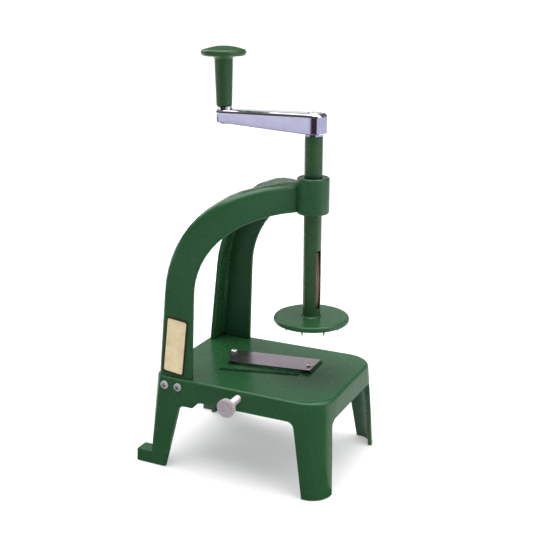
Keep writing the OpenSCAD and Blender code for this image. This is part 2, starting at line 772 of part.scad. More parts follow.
module thumb_screw() {
    knurls = 36;
    rim = thumb_head_d / 2;
    cut = rim / 20;
    neck = thumb_d / 4;
    shoulder = shoe_y - shoe_t / 2 / cos(slot_turn) - thumb_d / 2 * tan(slot_turn) - 0.6 * move_gap;
    color("#cfc6cc") placed() {
        translate([thumb_x, head_y, thumb_z]) rotate([-90, 0, 0]) {
            linear_extrude(thumb_head_t) polygon([for (k = [0:2 * knurls - 1])
                (rim - cut * (k % 2)) * [cos(k * 180 / knurls), sin(k * 180 / knurls)]]);
            translate([0, 0, thumb_head_t - eps]) cylinder(d1 = thumb_d + 2 * neck, d2 = thumb_d, h = neck);
        }
        rod_y(thumb_x, thumb_z, head_y + thumb_head_t - eps, shoulder, thumb_d);
        rod_y(thumb_x, thumb_z, shoulder - eps, shoe_y, tip_d);
    }
}

// Shaft, bush, spring and disc

module shaft_bush() {
    color("#23402c") placed() difference() {
        union() {
            translate([0, 0, boss_z + bush_inset]) cylinder(r = bush_r, h = boss_h - 2 * bush_inset);
            translate([0, 0, boss_top - bush_collar_h + fit_gap])
                cylinder(r = bush_r + bush_collar, h = bush_collar_h - 4 * fit_gap);
        }
        translate([0, 0, boss_z]) cylinder(d = shaft_d + 2 * run_gap, h = boss_h + over);
    }
}

// Groove in the side of the shaft for the friction spring, longer than the spring at its top
module spring_groove() {
    rotate([0, 0, spring_dir])
        translate([spring_seat, -spring_w / 2 - groove_side, shaft_z + spring_lift])
            cube([2 * groove_depth, spring_w + 2 * groove_side, spring_len + groove_spare]);
}

module shaft() {
    color(green) placed() difference() {
        union() {
            translate([0, 0, shaft_z]) cylinder(d = shaft_d, h = shaft_len);
            on_crank(0) key_bar(key_w, shaft_top - eps, key_len);
            key_bar(key_w, shaft_z - low_key, low_key + eps);
        }
        spring_groove();
        translate([0, 0, shaft_top + key_len - bolt_len - over])
            cylinder(d = bolt_bore, h = bolt_len + 2 * over);
        translate([0, 0, shaft_z - low_key - over]) cylinder(d = bolt_bore, h = bolt_len + over);
    }
}

module friction_spring() {
    bow = spring_rise - spring_t;
    sag = (spring_len * spring_len / 4 - bow * bow) / (2 * bow);
    radius = sag + bow;
    color("#b87a5c") placed() rotate([0, 0, spring_dir])
        translate([spring_seat + fit_gap, spring_w / 2, shaft_z + spring_lift + fit_gap + spring_len / 2])
        rotate([90, 0, 0]) linear_extrude(spring_w) intersection() {
            translate([0, -spring_len / 2]) square([2 * spring_rise, spring_len]);
            translate([bow - radius, 0]) difference() {
                circle(r = radius + spring_t, $fn = 256);
                circle(r = radius, $fn = 256);
            }
        }
}

module food_disc() {
    r = disc_d / 2;
    b = disc_t * 0.42;
    hub_r = shaft_d / 2 + hub_wall;
    edge = hub_h / 5;
    socket = key_w + 2 * fit_gap;
    color(green) placed() difference() {
        union() {
            rotate_extrude() polygon(concat([[0, disc_z]], arc_points([r - b, disc_z + b], b, 270, 360, 6),
                arc_points([r - b, disc_z + disc_t - b], b, 0, 90, 6),
                [[hub_r + 2 * edge, disc_z + disc_t], [hub_r, disc_z + disc_t + 2 * edge],
                [hub_r, hub_z - edge], [hub_r - edge, hub_z], [0, hub_z]]));
            for (i = [0:spikes - 1]) rotate([0, 0, spike_dir + i * 360 / spikes])
                translate([spike_pitch, 0, disc_z + eps]) mirror([0, 0, 1])
                    cylinder(d1 = spike_d, d2 = spike_d / 4, h = spike_len + eps);
        }
        key_bar(socket, disc_z + socket_floor - fit_gap, disc_t + hub_h);
        translate([0, 0, disc_z - over]) cylinder(d = bolt_clear, h = disc_t + over);
    }
}

module disc_screw() {
    color(steel) placed() translate([0, 0, disc_z]) {
        mirror([0, 0, 1]) pan_head(disc_cap_d, bolt_cap);
        cylinder(d = bolt_d, h = bolt_len);
    }
}

// Crank and grip

// Turns a piece to the crank's rest direction, with its length along +X
module on_crank(z) {
    translate([0, 0, z]) rotate([0, 0, crank_dir]) children();
}

// Half the crank's plan, drawn in by an inset: round end, taper, and one corner of the hub
function crank_half(inset) = let (h = crank_hub_w / 2, c = h - crank_round) concat(
    arc_points([crank_len, 0], crank_end_d / 2 - inset, 0, 90, 8), [[c, h - inset]],
    arc_points([-c, c], crank_round - inset, 90, 180, 6));

// Ring of the crank's loft: both halves of the plan, at height z by the hub and e by the grip
function crank_loop(z, e, inset) = let (half = crank_half(inset), m = len(half) - 1)
    [for (k = [0:2 * m]) let (q = half[k <= m ? k : 2 * m + 1 - k])
        [q[0], k <= m ? q[1] : -q[1], q[0] > crank_hub_w ? e : z]];

// Tapered bar with round edges, from the hub to the grip
module crank_bar() {
    end_low = crank_hub_h - crank_end_h;
    end_top = crank_hub_h - crank_fall;
    low = [for (a = [90:-45:0]) crank_low_round * [1 - sin(a), 1 - cos(a)]];
    top = [for (a = [0:18:90]) crank_top_round * [1 - sin(a), 1 - cos(a)]];
    loops = concat([for (v = low) crank_loop(v[0], end_low + v[0], v[1])],
        [for (v = top) crank_loop(crank_hub_h - v[0], end_top - v[0], v[1])]);
    n = len(loops[0]);
    last = len(loops) - 1;
    cap = concat([[0, 1, n - 1]],
        [for (k = [1:n / 2 - 1]) each [[k, k + 1, n - k - 1], [k, n - k - 1, n - k]]]);
    far = [for (f = cap) [for (k = [2:-1:0]) f[k] + last * n]];
    polyhedron([for (loop = loops) each loop], concat(loft_sides(last, n), cap, far), convexity = 4);
}

module crank_arm() {
    socket = key_w + 2 * fit_gap;
    color("#d8d8e2") placed() on_crank(crank_z) difference() {
        union() {
            crank_bar();
            translate([0, 0, -crank_ring]) cylinder(d = shaft_d + crank_low_round, h = 2 * crank_ring);
            translate([crank_len, 0, crank_hub_h / 2]) cylinder(d = crank_pad_d, h = crank_hub_h / 2);
        }
        key_bar(socket, -crank_ring - over, key_len + over + 2 * fit_gap);
        translate([0, 0, -over]) cylinder(d = bolt_clear, h = crank_hub_h + 2 * over);
        translate([0, 0, crank_hub_h - crank_sink]) cylinder(d = washer_d + move_gap, h = crank_sink + over);
        translate([crank_len, 0, -over]) cylinder(d = pin_tail_d + 2 * fit_gap, h = crank_hub_h + 2 * over);
    }
}

module crank_washer() {
    color("#a8a8ac") placed() translate([0, 0, crank_top - crank_sink]) difference() {
        cylinder(d = washer_d, h = washer_t);
        translate([0, 0, -over]) cylinder(d = bolt_clear, h = washer_t + 2 * over);
    }
}

module crank_screw() {
    color(steel) placed() translate([0, 0, crank_top - crank_sink + washer_t]) {
        pan_head(crank_cap_d, bolt_cap);
        mirror([0, 0, 1]) cylinder(d = bolt_d, h = crank_hub_h + bolt_d);
    }
}

module grip_pin() {
    tail = crank_end_h + rivet_t + 2 * fit_gap;
    color(steel) placed() on_crank(0) translate([crank_len, 0, 0]) {
        translate([0, 0, crank_top]) cylinder(d = pin_d, h = pin_head_z - crank_top + eps);
        translate([0, 0, pin_head_z]) cylinder(d = pin_head_d, h = pin_head_t);
        translate([0, 0, crank_top - tail]) cylinder(d = pin_tail_d, h = tail + pin_d);
        translate([0, 0, crank_top - tail]) cylinder(d = pin_tail_d * 1.4, h = rivet_t);
    }
}

// Grip and knob, turned as one: tapered stem, flat-domed cap with a round rim
module hand_grip() {
    rim_r = knob_d / 2 - knob_rim;
    rim_z = knob_z + 1.25 * knob_rim;
    dome = grip_end - rim_z - knob_rim;
    dome_r = (rim_r * rim_r + dome * dome) / (2 * dome);
    dome_a = asin(rim_r / dome_r);
    foot = grip_foot_d / 2;
    stem = grip_top_d / 2;
    flare = knob_rim / 2;
    color(green) placed() on_crank(0) translate([crank_len, 0, 0]) difference() {
        rotate_extrude() polygon(concat([[0, grip_z], [foot - flare / 2, grip_z], [foot, grip_z + flare / 2],
            [stem, knob_z - flare], [stem + flare, knob_z]],
            arc_points([rim_r, rim_z], knob_rim, 270, 450, 10),
            arc_points([0, grip_end - dome_r], dome_r, 90 - dome_a + 2, 90, 8)));
        translate([0, 0, grip_z - over]) cylinder(d = pin_d + 2 * run_gap, h = grip_len + knob_h);
        translate([0, 0, pin_head_z - end_play]) cylinder(d = pin_head_d + 2 * end_play, h = 2 * knob_h);
        translate([0, 0, grip_end - plug_t]) cylinder(d = plug_d + 2 * fit_gap, h = 2 * plug_t);
    }
}

module grip_plug() {
    dish = 0.8 * plug_d;
    color(green) placed() on_crank(0) translate([crank_len, 0, grip_end - plug_t]) difference() {
        cylinder(d = plug_d, h = plug_t - 2 * fit_gap);
        translate([0, 0, plug_t - 0.25 * plug_t + dish]) sphere(r = dish);
    }
}

base();
arch_frame();
arch_screws_front();
arch_screws_back();
blank_plate();
main_blade();
blade_screws();
blade_inserts();
thumb_insert();
clamp_shoe();
thumb_screw();
shaft_bush();
shaft();
friction_spring();
food_disc();
disc_screw();
crank_arm();
crank_screw();
crank_washer();
grip_pin();
hand_grip();
grip_plug();
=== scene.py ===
"""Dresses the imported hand-cranked slicer: finishes, softened edges, knurl and thread, studio and camera."""

import logging
import math
from dataclasses import dataclass
from enum import Enum

import bmesh
import bpy
from mathutils import Matrix, Vector


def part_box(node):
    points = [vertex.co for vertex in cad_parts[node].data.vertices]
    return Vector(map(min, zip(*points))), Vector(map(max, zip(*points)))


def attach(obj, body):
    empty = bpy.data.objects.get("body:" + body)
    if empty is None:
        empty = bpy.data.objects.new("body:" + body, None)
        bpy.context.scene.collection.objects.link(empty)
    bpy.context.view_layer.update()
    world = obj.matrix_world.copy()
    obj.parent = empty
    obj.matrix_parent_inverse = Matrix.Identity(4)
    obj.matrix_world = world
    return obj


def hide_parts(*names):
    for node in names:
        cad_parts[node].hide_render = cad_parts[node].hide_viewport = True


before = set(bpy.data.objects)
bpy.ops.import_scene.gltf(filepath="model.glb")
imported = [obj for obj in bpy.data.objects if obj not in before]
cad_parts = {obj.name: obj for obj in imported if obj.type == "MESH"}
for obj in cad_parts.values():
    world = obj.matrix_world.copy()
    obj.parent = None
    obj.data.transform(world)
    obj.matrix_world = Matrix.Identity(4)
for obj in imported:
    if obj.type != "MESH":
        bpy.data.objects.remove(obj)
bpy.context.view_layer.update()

LOG = logging.getLogger("slicer")
MM = 0.001
Colour = tuple[float, float, float]
Scale = tuple[float, float, float]


class Edge(Enum):
    """How far a piece's edges are rounded, in metres."""

    MOULDED = 0.45 * MM
    STAMPED = 0.25 * MM
    TURNED = 0.15 * MM


def linked(name: str, mesh: bmesh.types.BMesh, material: bpy.types.Material) -> bpy.types.Object:
    """Turns a mesh into an object of the scene.

    Args:
        name: the object's name.
        mesh: its mesh, which is freed.
        material: its finish.

    Returns:
        The object.
    """
    data = bpy.data.meshes.new(name)
    mesh.to_mesh(data)
    mesh.free()
    data.materials.append(material)
    piece = bpy.data.objects.new(name, data)
    bpy.context.scene.collection.objects.link(piece)
    return piece


def skin(mesh: bmesh.types.BMesh, first: list[bmesh.types.BMVert], second: list[bmesh.types.BMVert]) -> None:
    """Joins two closed rings of points by a band of faces.

    Args:
        mesh: the mesh that holds them.
        first: points of the first ring.
        second: points of the second ring, as many.
    """
    for k in range(len(first)):
        following = (k + 1) % len(first)
        mesh.faces.new((first[k], first[following], second[following], second[k]))


class Sheet:
    """One material's node tree, with short calls for the nodes that the finishes share."""

    NOISE_RANGE = (0.3, 0.7)
    FLAT_TO_EDGE = (0.995, 0.75)
    BEVEL_SAMPLES = 6
    HOLLOW_SAMPLES = 8

    def __init__(self, name: str) -> None:
        """Makes an empty material.

        Args:
            name: the material's name.
        """
        self.material = bpy.data.materials.new(name)
        self.material.use_nodes = True
        self.nodes = self.material.node_tree.nodes
        self.links = self.material.node_tree.links
        self.shader = next(n for n in self.nodes if n.type == "BSDF_PRINCIPLED")
        self.place = self.nodes.new("ShaderNodeTexCoord").outputs["Object"]

    def link(self, output: bpy.types.NodeSocket, socket: bpy.types.NodeSocket) -> None:
        """Joins an output to an input."""
        self.links.new(output, socket)

    def stretched(self, scale: Scale) -> bpy.types.NodeSocket:
        """Object coordinates scaled along each axis, for brushed grain.

        Args:
            scale: factors along X, Y and Z.

        Returns:
            The scaled vector.
        """
        mapping = self.nodes.new("ShaderNodeMapping")
        mapping.inputs["Scale"].default_value = scale
        self.link(self.place, mapping.inputs["Vector"])
        return mapping.outputs["Vector"]

    def noise(self, scale: float, detail: float = 3.0,
              place: bpy.types.NodeSocket | None = None) -> bpy.types.NodeSocket:
        """Cloudy noise over the piece.

        Args:
            scale: cells in a metre.
            detail: octaves.
            place: coordinates, or the object's own.

        Returns:
            The noise value.
        """
        node = self.nodes.new("ShaderNodeTexNoise")
        node.inputs["Scale"].default_value = scale
        node.inputs["Detail"].default_value = detail
        self.link(place or self.place, node.inputs["Vector"])
        return node.outputs["Fac"]

    def remap(self, value: bpy.types.NodeSocket, start: tuple[float, float],
              result: tuple[float, float] = (0.0, 1.0)) -> bpy.types.NodeSocket:
        """Maps a value from one range to another and holds it there.

        Args:
            value: the value.
            start: its two ends.
            result: what each end gives.

        Returns:
            The mapped value.
        """
        node = self.nodes.new("ShaderNodeMapRange")
        node.inputs["From Min"].default_value, node.inputs["From Max"].default_value = start
        node.inputs["To Min"].default_value, node.inputs["To Max"].default_value = result
        self.link(value, node.inputs["Value"])
        return node.outputs["Result"]

    def spread(self, value: bpy.types.NodeSocket, low: float, high: float) -> bpy.types.NodeSocket:
        """Maps the middle of a noise to the range from low to high."""
        return self.remap(value, self.NOISE_RANGE, (low, high))

    def blend(self, factor: bpy.types.NodeSocket, first: Colour | bpy.types.NodeSocket,
              second: Colour) -> bpy.types.NodeSocket:
        """Mixes two colours.

        Args:
            factor: share of the second colour.
            first: colour, or a colour made before.
            second: colour.

        Returns:
            The mixed colour.
        """
        node = self.nodes.new("ShaderNodeMix")
        node.data_type = "RGBA"
        self.link(factor, node.inputs[0])
        if isinstance(first, tuple):
            node.inputs[6].default_value = (*first, 1.0)
        else:
            self.link(first, node.inputs[6])
        node.inputs[7].default_value = (*second, 1.0)
        return node.outputs[2]

    def along_y(self, near: float, far: float) -> bpy.types.NodeSocket:
        """A value that rises from 0 to 1 along Y.

        Args:
            near: where it starts, in metres.
            far: where it ends.

        Returns:
            The value.
        """
        split = self.nodes.new("ShaderNodeSeparateXYZ")
        self.link(self.place, split.inputs[0])
        return self.remap(split.outputs["Y"], (near, far))

    def edge_mask(self, radius: float) -> bpy.types.NodeSocket:
        """Finds the piece's outer and inner edges.

        Args:
            radius: width of the band along the edges.

        Returns:
            A value that rises from 0 on flats towards 1 on edges.
        """
        bevel = self.nodes.new("ShaderNodeBevel")
        bevel.samples = self.BEVEL_SAMPLES
        bevel.inputs["Radius"].default_value = radius
        geometry = self.nodes.new("ShaderNodeNewGeometry")
        dot = self.nodes.new("ShaderNodeVectorMath")
        dot.operation = "DOT_PRODUCT"
        self.link(bevel.outputs["Normal"], dot.inputs[0])
        self.link(geometry.outputs["Normal"], dot.inputs[1])
        return self.remap(dot.outputs["Value"], self.FLAT_TO_EDGE)

    def hollows(self, reach: float, limits: tuple[float, float]) -> bpy.types.NodeSocket:
        """Finds recesses and tight corners.

        Args:
            reach: how far away a facing surface still counts.
            limits: share of open view where a recess starts and where it is full.

        Returns:
            A value that rises from 0 in the open towards 1 in a recess.
        """
        open_share = self.nodes.new("ShaderNodeAmbientOcclusion")
        open_share.samples = self.HOLLOW_SAMPLES
        open_share.inputs["Distance"].default_value = reach
        return self.remap(open_share.outputs["AO"], limits)

    def bump(self, height: bpy.types.NodeSocket, depth: float, strength: float) -> None:
        """Presses a height into the shader's normal.

        Args:
            height: height value.
            depth: depth in metres at full strength.
            strength: share of the depth that shows.
        """
        node = self.nodes.new("ShaderNodeBump")
        node.inputs["Strength"].default_value = strength
        node.inputs["Distance"].default_value = depth
        self.link(height, node.inputs["Height"])
        self.link(node.outputs["Normal"], self.shader.inputs["Normal"])

    def set(self, **values: float | tuple[float, ...]) -> None:
        """Sets constant shader inputs, with underscores for the spaces in their names."""
        for name, value in values.items():
            self.shader.inputs[name.replace("_", " ")].default_value = value


@dataclass(frozen=True)
class MouldedPlastic:
    """Satin moulded plastic: faint clouds in the colour, fine tool grain, paler rubbed edges, painted shade
    darkening its recesses.
    """

    name: str
    colour: Colour
    shade: Colour
    rubbed: Colour
    # Painted shade: near-black green that darkens recesses and tight corners.
    hollow_shade: Colour = (0.004, 0.012, 0.005)
    gloss: tuple[float, float] = (0.24, 0.28)
    clouds: float = 26.0
    patches: float = 180.0
    rub_width: float = 0.7 * MM
    hollow_shade_reach: float = 5.0 * MM
    hollow_shade_limits: tuple[float, float] = (0.68, 0.38)
    grain: float = 1500.0
    grain_depth: float = 0.05 * MM
    grain_share: float = 0.06
    refraction: float = 1.5
    shine: float = 0.38

    def material(self) -> bpy.types.Material:
        """Makes the finish.

        Returns:
            The node material.
        """
        sheet = Sheet(self.name)
        cloud = sheet.spread(sheet.noise(self.clouds), 0.0, 1.0)
        tone = sheet.blend(cloud, self.colour, self.shade)
        tone = sheet.blend(sheet.edge_mask(self.rub_width), tone, self.rubbed)
        # Painted shade: darkens the colour where occlusion marks a recess or tight corner.
        tone = sheet.blend(sheet.hollows(self.hollow_shade_reach, self.hollow_shade_limits), tone, self.hollow_shade)
        sheet.link(tone, sheet.shader.inputs["Base Color"])
        sheet.link(sheet.spread(sheet.noise(self.patches), *self.gloss), sheet.shader.inputs["Roughness"])
        sheet.bump(sheet.noise(self.grain, 2.0), self.grain_depth, self.grain_share)
        sheet.set(IOR=self.refraction, Specular_IOR_Level=self.shine)
        return sheet.material


@dataclass(frozen=True)
class PlatedMetal:
    """Bright plating over a smoothed casting: slow waves, a little haze, patches of tarnish."""

    name: str
    colour: Colour
    tarnish: Colour
    gloss: tuple[float, float] = (0.07, 0.14)
    mottle: float = 90.0
    tarnish_share: float = 0.5
    waves: float = 60.0
    wave_depth: float = 0.12 * MM
    wave_share: float = 0.25
    metallic: float = 1.0

    def material(self) -> bpy.types.Material:
        """Makes the finish.

        Returns:
            The node material.
        """
        sheet = Sheet(self.name)
        haze = sheet.noise(self.mottle, 5.0)
        tone = sheet.blend(sheet.spread(haze, 0.0, self.tarnish_share), self.colour, self.tarnish)
        sheet.link(tone, sheet.shader.inputs["Base Color"])
        sheet.link(sheet.spread(haze, *self.gloss), sheet.shader.inputs["Roughness"])
        sheet.bump(sheet.noise(self.waves, 1.0), self.wave_depth, self.wave_share)
        sheet.set(Metallic=self.metallic)
        return sheet.material


@dataclass(frozen=True)
class DrawnMetal:
    """Metal with a grain: ground blade, rolled strip, turned insert or zinc-coated screw, with painted shade in
    its recesses.
    """

    name: str
    colour: Colour
    streak: Colour
    gloss: tuple[float, float]
    grain: Scale
    grain_depth: float = 0.04 * MM
    grain_share: float = 0.3
    streak_share: float = 0.8
    metallic: float = 1.0
    # Painted shade: near-black that darkens recesses such as a screw's cross.
    recess_shade: Colour = (0.03, 0.03, 0.025)
    recess_shade_reach: float = 1.6 * MM
    recess_shade_limits: tuple[float, float] = (0.85, 0.45)

    def material(self) -> bpy.types.Material:
        """Makes the finish.

        Returns:
            The node material.
        """
        sheet = Sheet(self.name)
        streaks = sheet.noise(1.0, 4.0, sheet.stretched(self.grain))
        tone = sheet.blend(sheet.spread(streaks, 0.0, self.streak_share), self.colour, self.streak)
        # Painted shade: darkens the colour where occlusion marks a recess.
        tone = sheet.blend(sheet.hollows(self.recess_shade_reach, self.recess_shade_limits), tone, self.recess_shade)
        sheet.link(tone, sheet.shader.inputs["Base Color"])
        sheet.link(sheet.spread(streaks, *self.gloss), sheet.shader.inputs["Roughness"])
        sheet.bump(streaks, self.grain_depth, self.grain_share)
        sheet.set(Metallic=self.metallic)
        return sheet.material


@dataclass(frozen=True)
class Enamel:
    """Thin satin paint on a plate: mottled colour and slight orange peel."""

    name: str
    colour: Colour
    mottle: Colour
    gloss: tuple[float, float] = (0.4, 0.55)
    blotches: float = 140.0
    patches: float = 400.0
    peel: float = 900.0
    peel_depth: float = 0.03 * MM
    peel_share: float = 0.4

    def material(self) -> bpy.types.Material:
        """Makes the finish.

        Returns:
            The node material.
        """
        sheet = Sheet(self.name)
        blotch = sheet.spread(sheet.noise(self.blotches, 5.0), 0.0, 1.0)
        sheet.link(sheet.blend(blotch, self.colour, self.mottle), sheet.shader.inputs["Base Color"])
        sheet.link(sheet.spread(sheet.noise(self.patches), *self.gloss), sheet.shader.inputs["Roughness"])
        sheet.bump(sheet.noise(self.peel, 2.0), self.peel_depth, self.peel_share)
        return sheet.material


@dataclass(frozen=True)
class Finishes:
    """Every finish on the machine, made once."""

    green: bpy.types.Material
    # Painted shade: a duller copy of the body green for the shaft, grip and plug.
    turned: bpy.types.Material
    bush: bpy.types.Material
    chrome: bpy.types.Material
    knurled: bpy.types.Material
    zinc: bpy.types.Material
    blade: bpy.types.Material
    brass: bpy.types.Material
    bronze: bpy.types.Material
    cream: bpy.types.Material
    gap_shade: bpy.types.Material

    @classmethod
    def made(cls) -> "Finishes":
        """Makes the materials.

        Returns:
            The set of finishes.
        """
        green = MouldedPlastic("green_body", (0.02, 0.092, 0.032), (0.017, 0.08, 0.028), (0.04, 0.13, 0.06))
        # Painted shade: the body green made darker and greyer for the shaft, grip and plug, standing in for
        # their dimmer light.
        turned = MouldedPlastic("green_dimmed_copy", (0.027, 0.086, 0.028), (0.023, 0.075, 0.0245),
                                (0.045, 0.122, 0.055))
        bush = MouldedPlastic("bush_dark", (0.012, 0.03, 0.016), (0.01, 0.024, 0.012), (0.03, 0.05, 0.035))
        chrome = PlatedMetal("crank_chrome", (0.82, 0.82, 0.9), (0.7, 0.69, 0.76))
        knurled = PlatedMetal("knurled_steel", (0.82, 0.74, 0.79), (0.3, 0.24, 0.27), (0.3, 0.42), 800.0,
                              metallic=0.5)
        zinc = DrawnMetal("screw_steel", (0.85, 0.85, 0.85), (0.7, 0.7, 0.7), (0.26, 0.4),
                          (900.0, 900.0, 300.0), metallic=0.6)
        blade = DrawnMetal("blade_steel", (0.6, 0.52, 0.58), (0.48, 0.42, 0.47), (0.22, 0.3),
                           (60.0, 4200.0, 400.0))
        brass = DrawnMetal("insert_brass", (0.72, 0.52, 0.22), (0.58, 0.4, 0.16), (0.25, 0.4),
                           (500.0, 500.0, 2000.0))
        bronze = DrawnMetal("spring_bronze", (0.17, 0.1, 0.072), (0.11, 0.07, 0.052), (0.22, 0.38),
                            (1800.0, 1800.0, 80.0))
        cream = Enamel("plate_cream", (0.86, 0.72, 0.44), (0.72, 0.57, 0.34))
        # Painted shade: near-black brown for the shadowed gap round the plate.
        gap_shade = Enamel("plate_gap_painted_shade", (0.035, 0.02, 0.014), (0.05, 0.03, 0.02))
        kinds = (green, turned, bush, chrome, knurled, zinc, blade, brass, bronze, cream, gap_shade)
        return cls(*(kind.material() for kind in kinds))


class Bench:
    """Shared work on meshes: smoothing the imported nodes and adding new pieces."""

    SHARP = math.radians(33.0)
    FLAT = math.radians(0.5)
    ROUNDED = math.radians(40.0)
    ROUND_STEPS = 3
    WELD_GAP = 0.002 * MM
    FLAT_WEIGHT = 80

    def __init__(self) -> None:
        """Makes the node group that sets smooth and sharp edges."""
        self.normals = self._normals_group()

    def _normals_group(self) -> bpy.types.NodeTree:
        """A geometry group that shades faces smooth and keeps edges above the limit sharp.

        Returns:
            The group.
        """
        group = bpy.data.node_groups.new("moulded_normals", "GeometryNodeTree")
        group.interface.new_socket("Geometry", in_out="INPUT", socket_type="NodeSocketGeometry")
        group.interface.new_socket("Geometry", in_out="OUTPUT", socket_type="NodeSocketGeometry")
        start = group.nodes.new("NodeGroupInput")
        end = group.nodes.new("NodeGroupOutput")
        faces = group.nodes.new("GeometryNodeSetShadeSmooth")
        faces.domain = "FACE"
        edges = group.nodes.new("GeometryNodeSetShadeSmooth")
        edges.domain = "EDGE"
        edges.inputs["Shade Smooth"].default_value = False
        angle = group.nodes.new("GeometryNodeInputMeshEdgeAngle")
        over = group.nodes.new("FunctionNodeCompare")
        over.operation = "GREATER_THAN"
        over.inputs[1].default_value = self.SHARP
        group.links.new(start.outputs[0], faces.inputs["Geometry"])
        group.links.new(faces.outputs["Geometry"], edges.inputs["Geometry"])
        group.links.new(angle.outputs["Unsigned Angle"], over.inputs[0])
        group.links.new(over.outputs["Result"], edges.inputs["Selection"])
        group.links.new(edges.outputs["Geometry"], end.inputs[0])
        return group

    def smooth(self, piece: bpy.types.Object) -> None:
        """Sets a piece's normals: smooth faces, sharp edges kept, flats kept flat.

        Args:
            piece: the piece.
        """
        piece.modifiers.new("normals", "NODES").node_group = self.normals
        weighted = piece.modifiers.new("flats", "WEIGHTED_NORMAL")
        weighted.keep_sharp = True
        weighted.weight = self.FLAT_WEIGHT

    def dress(self, node: str, material: bpy.types.Material, edge: Edge | None = None) -> None:
        """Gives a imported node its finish, joined faces and softened edges.

        Args:
            node: the node's name.
            material: its finish.
            edge: how far its edges are rounded, or None where the solid is round already.
        """
        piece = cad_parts[node]
        piece.data.materials.clear()
        piece.data.materials.append(material)
        weld = piece.modifiers.new("weld", "WELD")
        weld.merge_threshold = self.WELD_GAP
        if edge is not None:
            flat = piece.modifiers.new("flat", "DECIMATE")
            flat.decimate_type = "DISSOLVE"
            flat.angle_limit = self.FLAT
            round_over = piece.modifiers.new("round", "BEVEL")
            round_over.width = edge.value
            round_over.segments = self.ROUND_STEPS
            round_over.limit_method = "ANGLE"
            round_over.angle_limit = self.ROUNDED
        self.smooth(piece)
        LOG.info("dressed %s", node)

    def add(self, name: str, mesh: bmesh.types.BMesh, material: bpy.types.Material,
            body: str) -> bpy.types.Object:
        """Makes a new piece that rides on a body.

        Args:
            name: the piece's name.
            mesh: its mesh, which is freed.
            material: its finish.
            body: the body that carries it.

        Returns:
            The piece.
        """
        bmesh.ops.recalc_face_normals(mesh, faces=mesh.faces)
        piece = linked(name, mesh, material)
        self.smooth(piece)
        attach(piece, body)
        LOG.info("added %s", name)
        return piece


@dataclass
class TableBase:
    """The moulded table with its legs, and the screws that hold the arch in it."""

    bench: Bench
    finishes: Finishes

    def build(self) -> None:
        """Dresses the base and its fasteners."""
        self.bench.dress("base", self.finishes.green)
        for node in ("arch_screws_front", "arch_screws_back"):
            self.bench.dress(node, self.finishes.zinc, Edge.TURNED)


@dataclass
class ArchFrame:
    """The wishbone arch and the bare plate on its near pillar."""

    bench: Bench
    finishes: Finishes
    shade_ring_outer: float = 1.0 * MM
    shade_ring_inner: float = 0.05 * MM
    shade_ring_proud: float = 0.15 * MM
    plate_corner: float = 1.6 * MM
    corner_steps: int = 6
    plate_lean: float = math.radians(6.7)
    plate_width: float = 17.0 * MM
    plate_length: float = 45.0 * MM

    def build(self) -> None:
        """Dresses the arch and its plate, and adds a dark ring of painted shade round the plate for its
        shadowed gap.
        """
        self.bench.dress("arch_frame", self.finishes.green)
        self.bench.dress("blank_plate", self.finishes.cream, Edge.STAMPED)
        # Painted shade: a dark ring standing for the shadow in the gap round the plate.
        piece = self.bench.add("plate_gap_shade_ring", self.gap_shade_mesh(), self.finishes.gap_shade, "frame")

    def shade_ring_loop(self, grow: float) -> list[tuple[float, float]]:
        """Outline of the plate with round corners, in its own plane.

        Args:
            grow: distance outside the plate's edge.

        Returns:
            Points in order round the plate.
        """
        radius = self.plate_corner + grow
        x = self.plate_width / 2 - self.plate_corner
        z = self.plate_length / 2 - self.plate_corner
        points = []
        for quarter, (side, end) in enumerate(((1, 1), (-1, 1), (-1, -1), (1, -1))):
            for step in range(self.corner_steps + 1):
                angle = math.pi / 2 * (quarter + step / self.corner_steps)
                points.append((side * x + radius * math.cos(angle), end * z + radius * math.sin(angle)))
        return points

    def gap_shade_mesh(self) -> bmesh.types.BMesh:
        """A thin dark ring of painted shade that runs round the plate, standing for its shadowed gap.

        Returns:
            A closed ring with round corners.
        """
        low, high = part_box("blank_plate")
        middle = (low + high) / 2
        turn = Matrix.Rotation(self.plate_lean, 4, "Y")
        front = low.y - self.shade_ring_proud - middle.y
        back = high.y - middle.y
        mesh = bmesh.new()
        loops = []
        outer, inner = self.shade_ring_outer, self.shade_ring_inner
        for depth, grow in ((front, outer), (front, inner), (back, inner), (back, outer)):
            flat = self.shade_ring_loop(grow)
            loops.append([mesh.verts.new(middle + turn @ Vector((x, depth, z))) for x, z in flat])
        for first, second in zip(loops, loops[1:] + loops[:1]):
            skin(mesh, first, second)
        return mesh


@dataclass
class BladeSet:
    """The fixed blade with its screws and inserts."""

    bench: Bench
    finishes: Finishes

    def build(self) -> None:
        """Dresses the blade and what holds it."""
        self.bench.dress("main_blade", self.finishes.blade, Edge.TURNED)
        self.bench.dress("blade_screws", self.finishes.zinc, Edge.TURNED)
        self.bench.dress("blade_inserts", self.finishes.brass)


